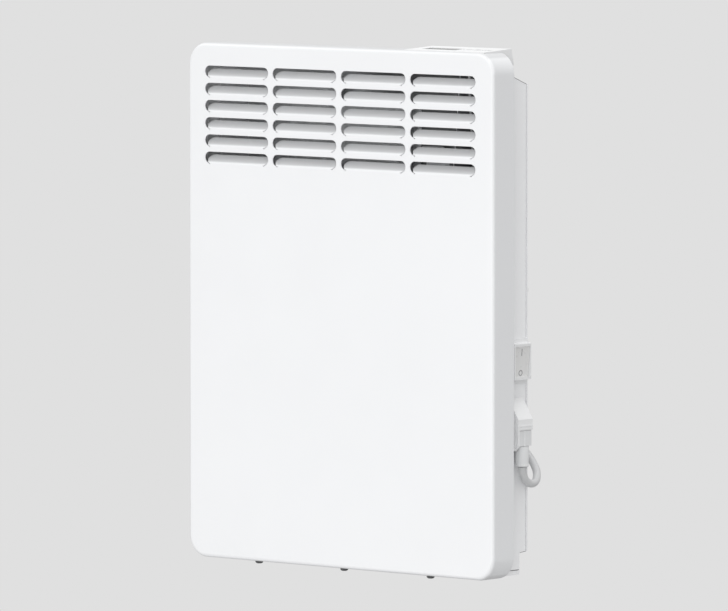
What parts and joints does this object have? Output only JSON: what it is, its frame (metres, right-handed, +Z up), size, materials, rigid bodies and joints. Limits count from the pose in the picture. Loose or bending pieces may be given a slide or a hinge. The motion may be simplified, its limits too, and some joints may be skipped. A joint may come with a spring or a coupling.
{
  "type": "wall panel convector heater",
  "caption": "White wall-mounted panel convector heater with a louvred steel cover, top-edge controls, a side rocker switch and a mains lead coiled behind it.",
  "frame": {"origin": "centre of the wall bracket's back face, on the wall", "axes": "+X to the right of someone who faces the heater, +Y into the wall, +Z up"},
  "size_m": [0.348, 0.1, 0.4549],
  "materials": {
    "cover_enamel": "white powder coat, fine and semi-gloss",
    "casing_enamel": "white powder coat, semi-matt",
    "zinc_sheet": "zinc-coated sheet steel",
    "bright_steel": "plain steel",
    "fin_aluminium": "extruded aluminium, as drawn",
    "white_plastic": "white moulded plastic, satin",
    "grey_plastic": "light grey moulded plastic",
    "rocker_plastic": "white moulded plastic, polished",
    "dark_plastic": "black moulded plastic",
    "window_plastic": "smoked clear plastic, polished",
    "board_green": "green lacquered circuit board",
    "ceramic": "unglazed off-white ceramic",
    "grey_rubber": "matt grey rubber",
    "cord_jacket": "light grey flexible jacket, satin",
    "core_brown": "brown core insulation",
    "core_blue": "blue core insulation",
    "core_green": "green and yellow core insulation",
    "tinned_copper": "tinned copper ferrule"
  },
  "bodies": {
    "heater": {"front_cover": "cover_enamel", "rear_casing": "casing_enamel", "air_inlet_tray": "casing_enamel", "cover_screw_1": "dark_plastic", "cover_screw_2": "dark_plastic", "cover_screw_3": "dark_plastic", "wall_bracket": "zinc_sheet", "rear_bumper_left": "grey_rubber", "rear_bumper_right": "grey_rubber", "control_cap": "white_plastic", "control_carrier": "grey_plastic", "display_window": "window_plastic", "display_module": "dark_plastic", "display_board": "board_green", "switch_housing": "white_plastic", "switch_blade_upper": "bright_steel", "switch_blade_lower": "bright_steel", "gland_hood": "white_plastic", "gland_clamp": "grey_plastic", "strain_relief": "grey_plastic", "cord_lead": "cord_jacket", "cord_coil": "cord_jacket", "coil_tie": "dark_plastic", "core_line": "core_brown", "core_neutral": "core_blue", "core_earth": "core_green", "ferrule_line": "tinned_copper", "ferrule_neutral": "tinned_copper", "ferrule_earth": "tinned_copper", "element_fins": "fin_aluminium", "element_rod": "bright_steel", "element_terminal_left": "bright_steel", "element_terminal_right": "bright_steel", "bush_left": "ceramic", "bush_right": "ceramic", "element_end_plate": "zinc_sheet", "partition_plate": "zinc_sheet", "heat_shield": "zinc_sheet", "terminal_block": "ceramic", "power_board": "board_green", "relay": "dark_plastic", "board_capacitor": "dark_plastic", "inner_lead": "cord_jacket", "thermal_cutout": "dark_plastic", "cutout_bracket": "zinc_sheet", "room_sensor": "dark_plastic", "sensor_clip": "white_plastic", "wire_element_right": "core_brown", "wire_element_left": "core_blue", "wire_switch_line": "core_brown", "wire_switch_load": "core_brown", "wire_display": "grey_plastic", "wire_sensor": "dark_plastic"},
    "rocker": {"switch_rocker": "rocker_plastic"},
    "key_minus": {"key_minus": "white_plastic"},
    "key_menu": {"key_menu": "white_plastic"},
    "key_plus": {"key_plus": "white_plastic"}
  },
  "joints": [
    {"name": "rocker_tilt", "type": "hinge", "parent": "heater", "child": "rocker", "pos_m": [0.158, -0.051, -0.0402], "axis": [0, -1, 0], "range_deg": [0, 10]},
    {"name": "key_minus_press", "type": "slide", "parent": "heater", "child": "key_minus", "axis": [0, 0, -1], "range_m": [0, 0.0007], "stiffness_N_per_m": 1500},
    {"name": "key_menu_press", "type": "slide", "parent": "heater", "child": "key_menu", "axis": [0, 0, -1], "range_m": [0, 0.0007], "stiffness_N_per_m": 1500},
    {"name": "key_plus_press", "type": "slide", "parent": "heater", "child": "key_plus", "axis": [0, 0, -1], "range_m": [0, 0.0007], "stiffness_N_per_m": 1500}
  ]
}
